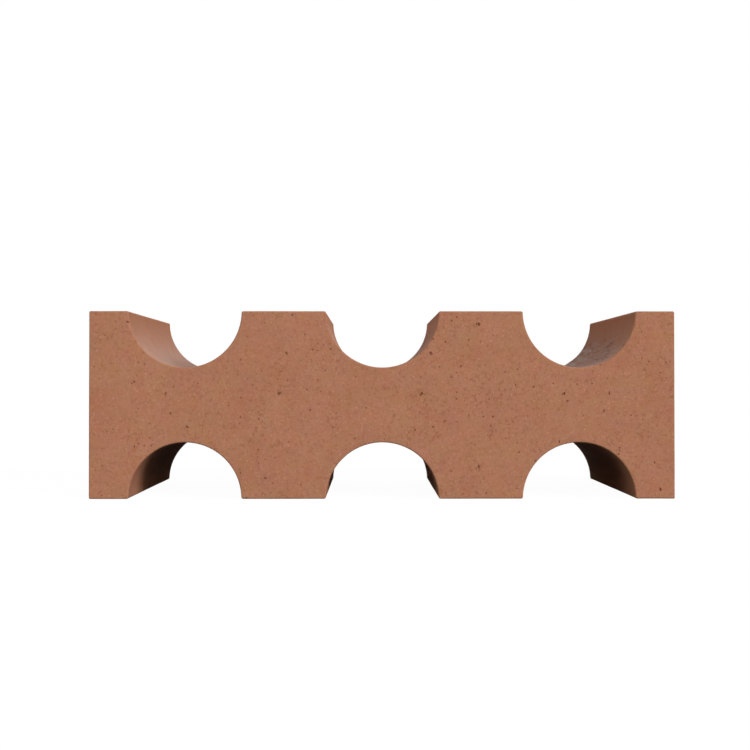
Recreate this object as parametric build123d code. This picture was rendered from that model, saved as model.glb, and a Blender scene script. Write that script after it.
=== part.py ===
from build123d import *
import os

# A breeze block: one extruded and fired terracotta unit for screen walls. Three half-round
# notches run through it from front to back along its upper bed, and three more along its lower
# bed, so that two courses close them into full circles.
#
# Frame, in millimetres: X along the wall, Y from the front face to the back face, Z up.
# The origin is in the middle of the lower bed.

# Overall sizes of the unit
block_length = 390.0
course_height = 125.0
wall_depth = 125.0

# Half-round notches, centred on the plane of each bed
notch_diameter = 75.0
notches_per_bed = 3

# Joint to the next unit of the course, which carries the notch spacing on across it
perpend_joint = 3.75

# Softened edge left by the die and the cutting wire
arris_radius = 1.0

# Spacing of the notches: the unit and its joint are shared out equally among them
notch_spacing = (block_length + perpend_joint) / notches_per_bed

with BuildPart() as breeze_block:
    # The section that the die forms, seen from the front: a bar with both beds scalloped
    with BuildSketch(Plane.XZ):
        with Locations((0, course_height / 2)):
            Rectangle(block_length, course_height)
            with GridLocations(notch_spacing, course_height, notches_per_bed, 2):
                Circle(notch_diameter / 2, mode=Mode.SUBTRACT)

    # The clay column, cut to the depth of the wall
    extrude(amount=wall_depth / 2, both=True)

    # Every edge of the unit is softened
    fillet(breeze_block.edges(), radius=arris_radius)

os.makedirs("parts", exist_ok=True)
export_step(breeze_block.part, "parts/breeze_block.step")
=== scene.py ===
import math
import random

import bmesh
import bpy
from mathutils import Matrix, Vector


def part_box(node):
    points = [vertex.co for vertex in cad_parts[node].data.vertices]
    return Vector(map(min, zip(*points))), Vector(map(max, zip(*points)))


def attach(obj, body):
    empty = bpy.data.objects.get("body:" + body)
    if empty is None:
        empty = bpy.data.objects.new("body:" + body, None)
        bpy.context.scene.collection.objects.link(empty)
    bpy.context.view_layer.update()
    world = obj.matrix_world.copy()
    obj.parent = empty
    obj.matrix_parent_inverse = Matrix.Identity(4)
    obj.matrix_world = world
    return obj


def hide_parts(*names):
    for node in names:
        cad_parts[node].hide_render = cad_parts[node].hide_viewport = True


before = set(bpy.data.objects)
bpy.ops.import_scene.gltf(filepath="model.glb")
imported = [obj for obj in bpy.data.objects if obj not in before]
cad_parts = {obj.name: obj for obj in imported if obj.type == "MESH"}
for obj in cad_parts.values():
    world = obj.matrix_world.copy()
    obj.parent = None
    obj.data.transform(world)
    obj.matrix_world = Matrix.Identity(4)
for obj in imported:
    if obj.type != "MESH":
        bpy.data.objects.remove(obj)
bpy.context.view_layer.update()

# A terracotta breeze block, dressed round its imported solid. Lengths are in metres.
MM = 0.001

# Sizes of the block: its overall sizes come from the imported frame
block_low, block_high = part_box("breeze_block")
block_length = block_high.x - block_low.x
block_depth = block_high.y - block_low.y
block_height = block_high.z - block_low.z
notch_radius = 37.5 * MM
perpend_joint = 3.75 * MM
notches_per_bed = 3
notch_spacing = (block_length + perpend_joint) / notches_per_bed
arris_radius = 1.0 * MM
corner_radius = 1.3 * MM

# Cells of the block's surface: how many steps of the lattice each stretch gets
arc_cells = 28
corner_cells = 4
land_cells = 8
arris_cells = 3
depth_cells = 40
height_cells = 32

# The narrow cell beside each rounding, which keeps the shading of the flat clay flat: its width,
# and its share of half the block's height and of half a notch's arc
support_width = 0.4 * MM
rise_support_share = 0.012
arc_support_share = 0.007

half_pitch_cells = arc_cells + corner_cells + land_cells
length_half = notches_per_bed * half_pitch_cells
depth_half = depth_cells // 2
height_half = height_cells // 2
edge_cells = 1 + arris_cells

# The larger pits of the front face, listed one by one: (x, height, width) in millimetres
front_pits = [
    (-165, 78, 1.2), (-144, 70, 1.5), (-141, 57, 1.3), (-130, 48, 1.4), (-78, 118, 1.3),
    (-64, 97, 1.5), (-69, 70, 1.9), (-48, 59, 1.2), (-78, 14, 1.3), (26, 70, 1.8),
    (32, 97, 1.6), (52, 88, 1.2), (64, 116, 2.0), (64, 21, 1.5), (91, 31, 1.2),
    (121, 70, 1.6), (123, 65, 1.2), (151, 70, 1.4), (185, 6, 1.6),
]

# Each is cut as a pair, in shares of its width: the main pit, the one beside it, their distance
main_pit_share = 1.25
side_pit_share = 0.8
side_pit_distance = 0.75

# The pits scattered elsewhere: how far they keep from those listed, how many of them the
# faces that the die drew have, and how strongly small ones outnumber large ones
placed_pit_clearance = 5 * MM
die_face_pits = 0.15
small_pit_power = 4.0

# The pebbles that cut the pits, from least to most: their lift off the surface, their length and
# height, in shares of their width, and how they are turned
pebble_lift = (0.02, 0.2)
pebble_length = (0.9, 1.7)
pebble_height = (0.6, 0.9)
any_turn = (0.0, math.tau)

# The pebbles' dented outline: the size of its dents and how far it strays
pebble_dent_size = 0.9 * MM
pebble_stray = 0.6 * MM

# Edges sharper than this stay crisp, as at the rim of a pit
crisp_edge_angle = math.radians(28)

# The skin's slow waves, its finer ripple, and the dents of its rough stretch: their sizes
wave_size = 60 * MM
ripple_size = 16 * MM
dent_size = 6 * MM

# Marks on the faces that the die drew are stretched along the wall's depth, because their pattern
# reads only this share of it. The drag lines are stretched the most
drawn_share = 0.35
drag_share = 0.06

# The rough stretch of the upper right notch's wall: how far along and how high, and its reach
rough_patch = (155 * MM, 96 * MM)
rough_patch_reach = 20 * MM

# Colours of the fired clay
clay_colour = (0.381, 0.169, 0.0968)
clay_lift = (0.16, 0.10, 0.072)
hue_drift = (0.09, 0.057, 0.042)
pale_grain = (0.70, 0.41, 0.28, 1)
dark_grain = (0.13, 0.036, 0.012, 1)
# Painted shade for the inside of the pits
pit_painted_shade = (0.10, 0.028, 0.009, 1)
# The grey of ash on what faces up, which also stands in for a painted sheen there
ash_and_sheen_grey = (0.43, 0.375, 0.345, 1)
clay_gloss = 0.005

# The layers of lighter and darker clay: their sizes, and how strongly each shows
cloud_size, cloud_strength = 34 * MM, 0.70
grain_size, grain_strength = 2.6 * MM, 0.28
dust_size, dust_strength = 1.1 * MM, 0.42
hue_size = 15 * MM

# How much of the two finer layers, and of the flecks, the die has smoothed away
die_smoothing = 0.7
die_fleck_loss = 0.8

# How far apart the flecks crowd, and the uneven outline of the grains: its size and its stray
crowd_size = 26 * MM
outline_size, outline_stray = 1.2 * MM, 0.9 * MM

# Grains in the clay: spacing, smallest, largest, and the seed of their places
pale_grains = (2.7 * MM, 0.5 * MM, 1.2 * MM, 3)
dark_grains = (4.0 * MM, 0.5 * MM, 1.6 * MM, 1)
fine_grains = (2.2 * MM, 0.4 * MM, 1.0 * MM, 2)

# Short crooked marks: length, width, and the seed of their places
pale_dashes = (2.2 * MM, 0.5 * MM, 5)
crack_dashes = (2.4 * MM, 0.7 * MM, 4)
dent_dashes = (7 * MM, 2.4 * MM, 6)

# How strongly the marks colour the clay
pale_share = 0.35
pale_dash_share = 0.35
fleck_share = 0.78
fine_fleck_share = 0.36
crack_share = 0.34
# The dents of the rough stretch are darkened with painted shade
dent_painted_shade_share = 0.5
# The pits are darkened with painted shade
pit_painted_shade_share = 0.6

# Ash with painted sheen on what faces up, as grey: an even layer, streaks in it, more of them in
# the rough stretch, and the share of it that is left off the upper bed
even_ash_and_sheen = 0.26
streaky_ash_and_sheen = 0.1
rough_patch_ash_and_sheen = 0.4
bed_ash_and_sheen_loss = 0.6
streak_size = 5 * MM

# Relief of the skin that is too fine for the mesh: the sizes of its lumps and drag lines, and the
# heights of all, in millimetres
lump_size = 5 * MM
lump_outline_size, lump_outline_stray = 6 * MM, 5 * MM
drag_size = 1.8 * MM
grain_relief = 0.07
lump_relief = 0.06
fleck_relief = 0.12
drag_relief = 0.02
rough_lump_relief = 1.2
rough_dent_relief = 0.4

# Roughness of the skin: the middle value, its drift, what flecks add, and its bounds
skin_roughness = 0.68
roughness_drift = 0.3
fleck_roughness = 0.15
roughness_bounds = (0.45, 0.95)

# The photograph's viewpoint: where the camera stands, its lens and sensor in millimetres, and how
# far it leans back and turns to the right, in radians
camera_place = (-0.00828, -0.66070, 0.07733)
camera_lens = 43.17
camera_sensor = 36.0
camera_lean = 0.0085
camera_turn = 0.0057

# The floor: half its width, how bright it shows, the part of it that takes a shadow, and the light
# that it throws back up
floor_half = 8.0
floor_glow = 1.02
floor_matt_share = 0.05
floor_bounce = 0.003

# The colour of the floor and of what is behind it
white = (1, 1, 1, 1)

# Soft lamps far off: degrees to the right of the camera, degrees up, width in degrees, strength
lamps = {
    "key": (58, 28, 20, 0.66),
    "wide_key": (60, 15, 50, 0.29),
    "front_fill": (0, 12, 40, 0.62),
    "left_fill": (283, 10, 40, 0.345),
    "back_light": (180, 35, 36, 0.48),
}


class Value:
    """A node's output that Python's operators work on: each operator adds a Math node."""

    def __init__(self, graph, socket):
        self.graph = graph
        self.socket = socket

    def math(self, operation, *terms):
        """A Math node on this value and the terms."""
        return self.graph.math(operation, self, *terms)

    def __add__(self, other): return self.math("ADD", other)
    def __sub__(self, other): return self.math("SUBTRACT", other)
    def __mul__(self, other): return self.math("MULTIPLY", other)
    def __truediv__(self, other): return self.math("DIVIDE", other)
    def __radd__(self, other): return self.graph.math("ADD", other, self)
    def __rsub__(self, other): return self.graph.math("SUBTRACT", other, self)
    def __pow__(self, other): return self.math("POWER", other)
    def __gt__(self, other): return self.math("GREATER_THAN", other)
    def __lt__(self, other): return self.math("LESS_THAN", other)
    def __neg__(self): return self.math("MULTIPLY", -1.0)
    def __abs__(self): return self.math("ABSOLUTE")

    def least(self, other): return self.math("MINIMUM", other)
    def most(self, other): return self.math("MAXIMUM", other)
    def between(self, low, high): return self.most(low).least(high)
    def sign(self): return self.math("SIGN")
    def sine(self): return self.math("SINE")
    def cosine(self): return self.math("COSINE")

    def fade(self, start, end):
        """0 at start, 1 at end, and a smooth way between."""
        return self.graph.node("ShaderNodeMapRange", {"interpolation_type": "SMOOTHSTEP"},
                               {0: self, 1: start, 2: end})


class Graph:
    """A node tree that is written as expressions, for shaders and for Geometry Nodes."""

    def __init__(self, tree):
        self.tree = tree

    def node(self, kind, settings=None, inputs=None, output=0):
        """Adds any node: its settings first, then the values or links of its sockets."""
        made = self.tree.nodes.new(kind)
        for name, setting in (settings or {}).items():
            setattr(made, name, setting)
        for name, term in (inputs or {}).items():
            self.feed(made.inputs[name], term)
        return Value(self, made.outputs[output])

    def feed(self, socket, term):
        """Gives a socket a link or a plain value."""
        if isinstance(term, Value):
            self.tree.links.new(term.socket, socket)
        else:
            socket.default_value = term

    def math(self, operation, *terms):
        return self.node("ShaderNodeMath", {"operation": operation}, dict(enumerate(terms)))

    def vector(self, x, y, z):
        return self.node("ShaderNodeCombineXYZ", None, {"X": x, "Y": y, "Z": z})

    def vector_math(self, operation, *terms):
        return self.node("ShaderNodeVectorMath", {"operation": operation}, dict(enumerate(terms)))

    def scaled(self, vector, factor):
        """A vector times a number."""
        inputs = {"Vector": vector, "Scale": factor}
        return self.node("ShaderNodeVectorMath", {"operation": "SCALE"}, inputs)

    def split(self, vector):
        """The three parts of a vector or a colour."""
        parts = self.node("ShaderNodeSeparateXYZ", None, {"Vector": vector})
        return [Value(self, socket) for socket in parts.socket.node.outputs]

    def pick(self, choice, otherwise, chosen):
        """The number chosen where choice is 1, and otherwise the other one."""
        inputs = {"Factor": choice, "A": otherwise, "B": chosen}
        return self.node("ShaderNodeMix", {"data_type": "FLOAT"}, inputs)

    def blend(self, share, first, second):
        """Mixes two colours. A Mix node's colour sockets are its seventh and eighth."""
        inputs = {0: share, 6: first, 7: second}
        return self.node("ShaderNodeMix", {"data_type": "RGBA"}, inputs, output=2)

    def noise(self, place, feature_size, detail=2.0, roughness=0.5):
        """Noise about 0.5, whose largest features are about feature_size across."""
        inputs = {"Vector": place, "Scale": 1 / feature_size, "Detail": detail,
                  "Roughness": roughness}
        return self.node("ShaderNodeTexNoise", None, inputs)

    def stray(self, place, feature_size, detail=1.0, roughness=0.5):
        """A vector about zero that strays every way, as noise does: its parts reach about 0.25."""
        colour = self.noise(place, feature_size, detail, roughness).socket.node.outputs["Color"]
        return self.vector_math("SUBTRACT", Value(self, colour), (0.5, 0.5, 0.5))


def geometry_tree(name, sizes):
    """A Geometry Nodes tree with one named input for each size."""
    tree = bpy.data.node_groups.new(name, "GeometryNodeTree")
    tree.interface.new_socket("Geometry", in_out="INPUT", socket_type="NodeSocketGeometry")
    for label, size in sizes.items():
        socket = tree.interface.new_socket(label, in_out="INPUT", socket_type="NodeSocketFloat")
        socket.default_value = size
    tree.interface.new_socket("Geometry", in_out="OUTPUT", socket_type="NodeSocketGeometry")
    graph = Graph(tree)
    entry = tree.nodes.new("NodeGroupInput")
    inputs = {socket.name: Value(graph, socket) for socket in entry.outputs if socket.name}
    return graph, inputs


def run_tree(name, start, graph, result, sizes):
    """Runs a Geometry Nodes tree on a start mesh and keeps what it makes as a plain mesh."""
    graph.feed(graph.tree.nodes.new("NodeGroupOutput").inputs["Geometry"], result)
    holder = bpy.data.objects.new(name, start)
    bpy.context.scene.collection.objects.link(holder)
    modifier = holder.modifiers.new("form", "NODES")
    modifier.node_group = graph.tree
    for item in graph.tree.interface.items_tree:
        if item.in_out == "INPUT" and item.name in sizes:
            modifier[item.identifier] = sizes[item.name]
    depsgraph = bpy.context.evaluated_depsgraph_get()
    mesh = bpy.data.meshes.new_from_object(holder.evaluated_get(depsgraph), depsgraph=depsgraph)
    holder.modifiers.remove(modifier)
    holder.data = mesh
    return holder


def edge_zone(steps, core):
    """Past the core, one narrow support cell and then the cells that turn round the arris."""
    beyond = (abs(steps) - core).most(0.0)
    support = beyond.least(1.0)
    half_arris = math.pi / 4
    turn = (beyond - 1.0).most(0.0) * (half_arris / arris_cells)
    lean = turn.math("TANGENT") * steps.sign()
    return support, lean


def block_form(graph, sizes):
    """Where each point of the lattice box goes: the scalloped block with softened arrises."""
    length, height, depth = sizes["Length"], sizes["Height"], sizes["Depth"]
    radius, spacing = sizes["Notch Radius"], sizes["Notch Spacing"]
    arris, corner = sizes["Arris Radius"], sizes["Corner Radius"]
    position = graph.node("GeometryNodeInputPosition")
    steps_x, steps_y, steps_z = graph.split(position)

    # Across the wall and up the course
    support_y, lean_y = edge_zone(steps_y, depth_half)
    flat_depth = depth / 2 - arris - support_width
    y = (abs(steps_y) / depth_half).least(1.0) * flat_depth + support_y * support_width
    y = y * steps_y.sign()
    support_z, lean_z = edge_zone(steps_z, height_half)
    rise = (abs(steps_z) / height_half).least(1.0) * (1 - rise_support_share)
    rise = (rise + support_z * rise_support_share) * steps_z.sign()

    # Along the wall: which notch the column belongs to, and how far from its middle it is
    support_x, lean_x = edge_zone(steps_x, length_half)
    column = steps_x.between(-length_half, length_half)
    last_notch = (notches_per_bed - 1) / 2
    pitch_cells = 2 * half_pitch_cells
    notch = (column / pitch_cells).math("ROUND").between(-last_notch, last_notch)
    offset = column - notch * pitch_cells
    side = offset.sign()
    step = abs(offset)
    at_end = notch * side > 0.5
    end_reach = length / 2 - arris - support_width - abs(notch) * spacing
    reach = graph.pick(at_end, spacing / 2, end_reach)

    # The section's core line, one arris radius inside its surface
    small_turn = (corner / (radius + corner)).math("ARCSINE")
    full_turn = math.pi / 2 - small_turn
    arc_share = (step / (arc_cells - 1)).least(1.0) * (1 - arc_support_share)
    arc_share = arc_share + (step - (arc_cells - 1)).between(0.0, 1.0) * arc_support_share
    corner_share = ((step - arc_cells) / corner_cells).between(0.0, 1.0)
    turn = (arc_share - corner_share) * full_turn
    corner_centre = (radius * radius + radius * corner * 2).math("SQRT")
    land_step = step - (arc_cells + corner_cells)
    land_share = ((land_step - 1.0) / (land_cells - 1)).between(0.0, 1.0)
    land_support = land_step.between(0.0, 1.0) * support_width
    land_run = land_support + land_share * (reach - corner_centre - support_width)
    on_arc = step < arc_cells
    rest = corner - arris
    across = graph.pick(on_arc, corner_centre - turn.sine() * rest + land_run,
                        turn.sine() * (radius + arris))
    below = graph.pick(on_arc, corner - turn.cosine() * rest, turn.cosine() * (radius + arris))

    # Every column bends evenly from the lower bed to the upper one
    middle_x = step / half_pitch_cells * reach
    spread = middle_x + rise * rise * (across - middle_x)
    x = notch * spacing + side * spread + support_x * support_width * steps_x.sign()
    z = height / 2 + rise * (height / 2 - below)

    # The surface stands one arris radius off the core, the way the cell leans
    normal_x = -(side * turn.sine()) * abs(lean_z)
    normal_z = turn.cosine() * lean_z
    lean = graph.vector_math("NORMALIZE", graph.vector(lean_x + normal_x, lean_y, normal_z))
    return graph.vector_math("ADD", graph.vector(x, y, z), graph.scaled(lean, arris))


def rough_share(x, z):
    """1 in the rough stretch of the upper right notch's wall, and 0 beyond it."""
    across, above = x - rough_patch[0], z - rough_patch[1]
    reach = (across * across + above * above).math("SQRT") / rough_patch_reach
    return 1 - reach.fade(0.5, 1.0)


def uneven(graph, body, sizes):
    """Slow waves, a finer ripple and the dents of the rough stretch, which only take clay away."""
    position = graph.node("GeometryNodeInputPosition")
    normal = graph.node("GeometryNodeInputNormal")
    waves = graph.noise(position, wave_size, detail=0.0).fade(0.3, 0.7)
    ripple = graph.noise(position, ripple_size, detail=0.0).fade(0.3, 0.7)
    x, y, z = graph.split(position)
    drawn = graph.vector(x, y * drawn_share, z)
    drawn_face = 1 - abs(graph.split(normal)[1]).fade(0.3, 0.6)
    dents = graph.noise(drawn, dent_size, detail=1.0).fade(0.42, 0.66)
    dents = dents * rough_share(x, z) * drawn_face
    depth = waves * sizes["Wave Depth"] + ripple * sizes["Ripple Depth"]
    depth = depth + dents * sizes["Dent Depth"]
    offset = graph.scaled(normal, -depth)
    return graph.node("GeometryNodeSetPosition", None, {"Geometry": body, "Offset": offset})


def random_number(graph, low, high, seed):
    """A random number for each point. A Random Value node's float sockets are 2 and 3."""
    inputs = {2: low, 3: high, "Seed": seed}
    return graph.node("FunctionNodeRandomValue", {"data_type": "FLOAT"}, inputs, output=1)


def pit_cutters(graph, body, placed, sizes, material):
    """Small uneven pebbles, one for each pit, that stand part way out of the surface."""
    position = graph.node("GeometryNodeInputPosition")
    normal = graph.node("GeometryNodeInputNormal")
    on_body = graph.node("GeometryNodeSampleNearestSurface", {"data_type": "FLOAT_VECTOR"}, {
        "Mesh": body, "Value": position})
    placed = graph.node("GeometryNodeSetPosition", None, {
        "Geometry": placed, "Position": on_body})

    # The wire-cut front and back are pitted, and the faces that the die drew are nearly whole
    near = graph.node("GeometryNodeProximity", {"target_element": "POINTS"},
                      {"Target": placed}, output="Distance")
    cut_face = abs(graph.split(normal)[1]).fade(0.5, 0.9)
    chance = cut_face * (1 - die_face_pits) + die_face_pits
    poisson = {"distribute_method": "POISSON"}
    scattered = graph.node("GeometryNodeDistributePointsOnFaces", poisson, {
        "Mesh": body, "Distance Min": sizes["Pit Spacing"], "Density Max": sizes["Pit Density"],
        "Density Factor": (near > placed_pit_clearance) * chance, "Seed": 7})
    draw = random_number(graph, 0.0, 1.0, seed=11)
    spread = sizes["Largest Pit"] - sizes["Smallest Pit"]
    width = sizes["Smallest Pit"] + draw ** small_pit_power * spread
    scattered = graph.node("GeometryNodeStoreNamedAttribute", {"domain": "POINT"}, {
        "Geometry": scattered, "Name": "width", "Value": width})
    placed = graph.node("GeometryNodeMeshToPoints", None, {"Mesh": placed})
    points = graph.node("GeometryNodeJoinGeometry", None, {"Geometry": scattered})
    graph.feed(points.socket.node.inputs["Geometry"], placed)

    # Each pebble's middle is lifted off the surface, so that the pit is a shallow one
    width = graph.node("GeometryNodeInputNamedAttribute", {"data_type": "FLOAT"}, {
        "Name": "width"})
    outwards = graph.node("GeometryNodeSampleNearestSurface", {"data_type": "FLOAT_VECTOR"}, {
        "Mesh": body, "Value": normal})
    lift = graph.scaled(outwards, width * random_number(graph, *pebble_lift, seed=12))
    points = graph.node("GeometryNodeSetPosition", None, {"Geometry": points, "Offset": lift})
    turns = [random_number(graph, *any_turn, seed=seed) for seed in (13, 14, 15)]
    turn = graph.node("FunctionNodeEulerToRotation", None, {"Euler": graph.vector(*turns)})
    pebble = graph.node("GeometryNodeMeshIcoSphere", None, {"Radius": 0.5, "Subdivisions": 2})
    stretch = graph.vector(width * random_number(graph, *pebble_length, seed=16), width,
                           width * random_number(graph, *pebble_height, seed=17))
    pebbles = graph.node("GeometryNodeInstanceOnPoints", None, {
        "Points": points, "Instance": pebble, "Rotation": turn, "Scale": stretch})
    pebbles = graph.node("GeometryNodeRealizeInstances", None, {"Geometry": pebbles})
    dents = graph.scaled(graph.stray(position, pebble_dent_size), pebble_stray)
    pebbles = graph.node("GeometryNodeSetPosition", None, {"Geometry": pebbles, "Offset": dents})
    return graph.node("GeometryNodeSetMaterial", None, {"Geometry": pebbles, "Material": material})


def shells(shape):
    """The faces of a shape, in lists that hang together across their edges."""
    unseen = set(shape.faces)
    for start in shape.faces:
        if start not in unseen:
            continue
        unseen.remove(start)
        shell = [start]
        for face in shell:
            beside = {other for edge in face.edges for other in edge.link_faces} & unseen
            unseen -= beside
            shell.extend(beside)
        yield shell


def clean_cut(mesh):
    """Takes out what the cutting of the pits leaves over. The mesh is closed before and after."""
    shape = bmesh.new()
    shape.from_mesh(mesh)

    # A chip that two pits cut loose, or a bubble that a pit left closed just below the surface:
    # the largest shell is the block
    for shell in sorted(shells(shape), key=len)[:-1]:
        bmesh.ops.delete(shape, geom=shell, context="FACES")

    # Points that only split an edge, where the triangles of the faces beside it would fold over
    splitting = [point for point in shape.verts if len(point.link_edges) == 2]
    bmesh.ops.dissolve_verts(shape, verts=splitting)
    shape.to_mesh(mesh)
    shape.free()


def build_block(clay, pit_clay):
    """The block: a lattice box bent into shape, made uneven, with its pits cut out."""
    sizes = {
        "Length": block_length, "Height": block_height, "Depth": block_depth,
        "Notch Radius": notch_radius, "Notch Spacing": notch_spacing,
        "Arris Radius": arris_radius, "Corner Radius": corner_radius,
        "Wave Depth": 0.05 * MM, "Ripple Depth": 0.03 * MM, "Dent Depth": 0.4 * MM,
        "Pit Spacing": 3.5 * MM, "Pit Density": 4300.0,
        "Smallest Pit": 0.7 * MM, "Largest Pit": 1.6 * MM, "Sliver": 0.02 * MM,
    }
    graph, inputs = geometry_tree("breeze_block", sizes)
    cells = [2 * (half + edge_cells) for half in (length_half, depth_half, height_half)]
    body = graph.node("GeometryNodeMeshCube", None, {
        "Size": cells, "Vertices X": cells[0] + 1, "Vertices Y": cells[1] + 1,
        "Vertices Z": cells[2] + 1})
    body = graph.node("GeometryNodeSetPosition", None, {
        "Geometry": body, "Position": block_form(graph, inputs)})
    body = uneven(graph, body, inputs)
    body = graph.node("GeometryNodeSetMaterial", None, {"Geometry": body, "Material": clay})
    cutters = pit_cutters(graph, body, inputs["Geometry"], inputs, pit_clay)
    cut = {"operation": "DIFFERENCE", "solver": "MANIFOLD"}
    body = graph.node("GeometryNodeMeshBoolean", cut, {"Mesh 1": body, "Mesh 2": cutters})
    body = graph.node("GeometryNodeMergeByDistance", None, {
        "Geometry": body, "Distance": inputs["Sliver"]})

    # The block is shaded smooth, and the rims of its pits stay crisp
    body = graph.node("GeometryNodeSetShadeSmooth", None, {"Geometry": body, "Shade Smooth": True})
    rim = graph.node("GeometryNodeInputMeshEdgeAngle") > crisp_edge_angle
    body = graph.node("GeometryNodeSetShadeSmooth", {"domain": "EDGE"}, {
        "Geometry": body, "Selection": rim, "Shade Smooth": False})

    # The listed pits go in as points on the front face, each with a smaller one beside it
    chance = random.Random(5)
    points, widths = [], []
    for x, z, width in front_pits:
        turn = chance.uniform(0, math.tau)
        step = width * side_pit_distance
        side_x, side_z = x + math.cos(turn) * step, z + math.sin(turn) * step
        points += [(x * MM, block_low.y, z * MM), (side_x * MM, block_low.y, side_z * MM)]
        widths += [width * main_pit_share * MM, width * side_pit_share * MM]
    placed = bpy.data.meshes.new("front_pits")
    placed.from_pydata(points, [], [])
    placed.attributes.new("width", "FLOAT", "POINT").data.foreach_set("value", widths)
    block = run_tree("dressed_block", placed, graph, body, sizes)
    clean_cut(block.data)
    block.data.materials.pop(index=0)
    return block


def speckle(graph, place, spacing, smallest, largest, seed):
    """Grains scattered through the clay: 0 outside them, and each has its own strength."""
    shift = graph.vector_math("ADD", place, (seed * 0.37, seed * 0.61, seed * 0.17))
    inputs = {"Vector": shift, "Scale": 1 / spacing, "Randomness": 1.0}
    cell = graph.node("ShaderNodeTexVoronoi", {"feature": "F1"}, inputs)
    draw = graph.split(Value(graph, cell.socket.node.outputs["Color"]))
    radius = (draw[0] * draw[0] * (largest - smallest) + smallest) / 2
    inside = 1 - (cell * spacing / radius).fade(0.5, 1.2)
    return inside * (draw[1] * 0.7 + 0.3)


def dashes(graph, place, length, width, seed):
    """Short crooked marks: the line on which one noise is middling, broken up by another."""
    shift = graph.vector_math("ADD", place, (seed * 0.29, seed * 0.53, seed * 0.41))
    line = abs(graph.noise(shift, length, detail=1.0) - 0.5)
    broken = graph.noise(shift, length * 0.9, detail=0.0)
    return (1 - line.fade(0.0, width / length * 0.35)) * broken.fade(0.52, 0.64)


def clay_tone(graph, cloud, grain, place, fineness):
    """The clay's colour: lighter and darker at every scale, with a faint drift of hue."""
    dust = graph.noise(place, dust_size, detail=1.0)
    fine_lift = (grain - 0.5) * grain_strength + (dust - 0.5) * dust_strength
    lift = (cloud - 0.5) * cloud_strength + fine_lift * fineness
    hue = graph.vector_math("MULTIPLY", graph.stray(place, hue_size, 4.0, 0.85), hue_drift)
    colour = graph.vector_math("ADD", clay_colour, graph.scaled(clay_lift, lift))
    return graph.vector_math("ADD", colour, hue)


def grains_and_flecks(graph, place, die_face):
    """Pale grains and dark flecks: crowded here and there, and few where the die drew the clay."""
    crowd = graph.noise(place, crowd_size, detail=1.0).fade(0.35, 0.65)
    left = 1 - die_face * die_fleck_loss
    uneven_outline = graph.scaled(graph.stray(place, outline_size, 2.0), outline_stray)
    grain_place = graph.vector_math("ADD", place, uneven_outline)
    pale = speckle(graph, grain_place, *pale_grains)
    pale = pale.most(dashes(graph, place, *pale_dashes) * pale_dash_share) * left
    dark = speckle(graph, grain_place, *dark_grains)
    fine = speckle(graph, grain_place, *fine_grains)
    cracks = dashes(graph, place, *crack_dashes)
    flecks = dark.most(fine * fine_fleck_share).most(cracks * crack_share)
    return pale, flecks * ((crowd * 0.6 + 0.6) * left)


def ash_and_sheen_layer(graph, drawn, place, upwards, patch):
    """How much ash with painted sheen greys the clay: only on what faces up, and streakier in the
    rough stretch.
    """
    y, z = graph.split(place)[1:]
    streaks = graph.noise(drawn, streak_size, detail=2.0, roughness=0.6).fade(0.42, 0.62)
    far_side = y.fade(-5 * MM, 30 * MM)
    ash_and_sheen = streaks * (patch * far_side * rough_patch_ash_and_sheen + streaky_ash_and_sheen) + even_ash_and_sheen
    bed = z.fade(block_height - 4 * MM, block_height - MM)
    return ash_and_sheen * (1 - bed * bed_ash_and_sheen_loss) * upwards.fade(-0.1, 1.0)


def skin_relief(graph, drawn, drag, die_face, patch, grain, fineness, flecks, dents):
    """Fine grain on the cut faces, drag lines on the drawn ones, and lumps in the rough stretch."""
    crooked = graph.scaled(graph.stray(drawn, lump_outline_size), lump_outline_stray)
    crooked = graph.vector_math("ADD", drawn, crooked)
    lumps = graph.noise(crooked, lump_size, detail=2.0, roughness=0.55)
    height = (grain - 0.5) * fineness * grain_relief + (lumps - 0.5) * lump_relief
    height = height - flecks * fleck_relief + die_face * (drag - 0.5) * drag_relief
    rough = (lumps - 0.5) * rough_lump_relief - dents * rough_dent_relief
    return height + patch * rough


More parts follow.
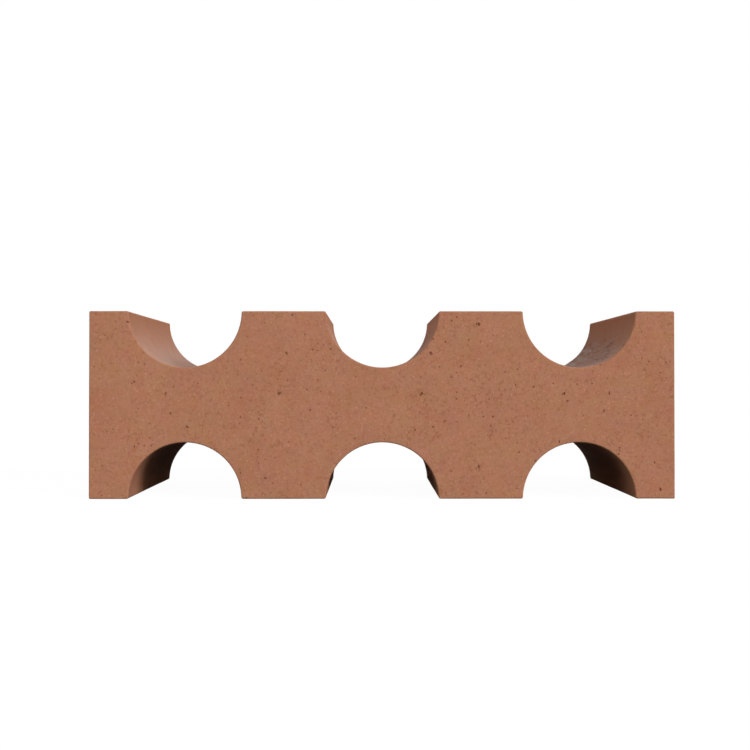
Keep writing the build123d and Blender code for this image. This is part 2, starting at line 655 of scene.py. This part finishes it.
def clay_material(name, pit):
    """Fired clay with a dry skin, greyed by ash with painted sheen on what faces up. Inside the
    pits it is darker, with painted shade.
    """
    material = bpy.data.materials.new(name)
    material.use_nodes = True
    graph = Graph(material.node_tree)
    shader = material.node_tree.nodes["Principled BSDF"]
    place = graph.node("ShaderNodeTexCoord", None, None, "Object")
    normal = graph.split(graph.node("ShaderNodeNewGeometry", None, None, "True Normal"))
    die_face = 1 - abs(normal[1]).fade(0.4, 0.8)
    fineness = 1 - die_face * die_smoothing
    x, y, z = graph.split(place)
    drawn = graph.vector(x, y * drawn_share, z)
    patch = rough_share(x, z) * die_face

    # Colour
    cloud = graph.noise(place, cloud_size, detail=6.0, roughness=0.9)
    grain = graph.noise(place, grain_size, detail=2.0, roughness=0.8)
    pale, flecks = grains_and_flecks(graph, place, die_face)
    dents = dashes(graph, drawn, *dent_dashes) * patch
    ash_and_sheen = ash_and_sheen_layer(graph, drawn, place, normal[2], patch) * die_face
    colour = clay_tone(graph, cloud, grain, place, fineness)
    colour = graph.blend(pale * pale_share, colour, pale_grain)
    colour = graph.blend(flecks * fleck_share, colour, dark_grain)
    # Painted shade in the dents of the rough stretch
    colour = graph.blend(dents * dent_painted_shade_share, colour, dark_grain)
    # Ash with painted sheen greys what faces up
    colour = graph.blend(ash_and_sheen, colour, ash_and_sheen_grey)
    # Painted shade inside the pits
    if pit:
        colour = graph.blend(pit_painted_shade_share, colour, pit_painted_shade)
    graph.feed(shader.inputs["Base Color"], colour)

    # Skin
    drag = graph.noise(graph.vector(x, y * drag_share, z), drag_size)
    height = skin_relief(graph, drawn, drag, die_face, patch, grain, fineness, flecks, dents)
    relief = {"Strength": 1.0, "Distance": MM, "Height": height}
    graph.feed(shader.inputs["Normal"], graph.node("ShaderNodeBump", None, relief, "Normal"))
    rough = skin_roughness + (cloud - 0.5) * roughness_drift + flecks * fleck_roughness
    graph.feed(shader.inputs["Roughness"], rough.between(*roughness_bounds))
    shader.inputs["Specular IOR Level"].default_value = clay_gloss
    return material


def make_camera():
    """The photograph's viewpoint: straight on, a little above the block's middle."""
    camera = bpy.data.cameras.new("camera")
    camera.sensor_width = camera_sensor
    camera.lens = camera_lens
    camera.clip_start = 0.01
    holder = bpy.data.objects.new("camera", camera)
    holder.location = camera_place
    holder.rotation_euler = (math.pi / 2 + camera_lean, 0, -camera_turn)
    bpy.context.scene.collection.objects.link(holder)
    bpy.context.scene.camera = holder


def make_lamps():
    """Each lamp is a wide disc in the sky. A strength of 1 shows a facing colour as written."""
    for name, (azimuth, elevation, width, strength) in lamps.items():
        lamp = bpy.data.lights.new(name, "SUN")
        lamp.energy = strength * math.pi
        lamp.angle = math.radians(width)
        across, up = math.radians(azimuth), math.radians(elevation)
        toward = Vector((math.sin(across) * math.cos(up), -math.cos(across) * math.cos(up),
                         math.sin(up)))
        holder = bpy.data.objects.new(name, lamp)
        holder.rotation_euler = toward.to_track_quat("Z", "Y").to_euler()
        bpy.context.scene.collection.objects.link(holder)


def background_ray(graph):
    """1 for what the camera sees, straight, mirrored or through glass; 0 for light on the block."""
    camera = graph.node("ShaderNodeLightPath", None, None, "Is Camera Ray")
    outputs = camera.socket.node.outputs
    mirrored = Value(graph, outputs["Is Glossy Ray"])
    return camera.most(mirrored).most(Value(graph, outputs["Is Transmission Ray"]))


def make_world():
    """Plain white behind everything. It sends no light to the block, which is left to the lamps."""
    world = bpy.data.worlds.new("studio")
    bpy.context.scene.world = world
    world.use_nodes = True
    graph = Graph(world.node_tree)
    background = world.node_tree.nodes["Background"]
    background.inputs["Color"].default_value = white
    graph.feed(background.inputs["Strength"], graph.pick(background_ray(graph), 0.0, 1.0))


def make_floor():
    """A plain pale floor: white with the block's soft shadow, and little light thrown back."""
    mesh = bpy.data.meshes.new("floor")
    corners = [(x * floor_half, y * floor_half, 0) for x, y in [(-1, -1), (1, -1), (1, 1), (-1, 1)]]
    mesh.from_pydata(corners, [], [(0, 1, 2, 3)])
    material = bpy.data.materials.new("pale_floor")
    material.use_nodes = True
    tree = material.node_tree
    tree.nodes.clear()
    graph = Graph(tree)
    glossy = graph.node("ShaderNodeLightPath", None, None, "Is Glossy Ray")
    matt = graph.node("ShaderNodeBsdfDiffuse", None, {"Color": white})
    glow = graph.node("ShaderNodeEmission", None, {"Color": white, "Strength": floor_glow})
    glow_share = (1 - floor_matt_share) - glossy * (1 - floor_matt_share)
    pale = graph.node("ShaderNodeMixShader", None, {0: glow_share, 1: matt, 2: glow})
    bounce = graph.node("ShaderNodeEmission", None, {"Color": white, "Strength": floor_bounce})
    seen = background_ray(graph)
    surface = graph.node("ShaderNodeMixShader", None, {0: seen, 1: bounce, 2: pale})
    output = tree.nodes.new("ShaderNodeOutputMaterial")
    graph.feed(output.inputs["Surface"], surface)
    mesh.materials.append(material)
    floor = bpy.data.objects.new("floor", mesh)
    bpy.context.scene.collection.objects.link(floor)


block = build_block(clay_material("fired_clay", False), clay_material("fired_clay_pit", True))
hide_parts("breeze_block")
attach(block, "root")

make_camera()
make_lamps()
make_world()
make_floor()
bpy.context.scene.view_settings.view_transform = "Standard"
print("triangles", sum(len(polygon.vertices) - 2 for polygon in block.data.polygons))
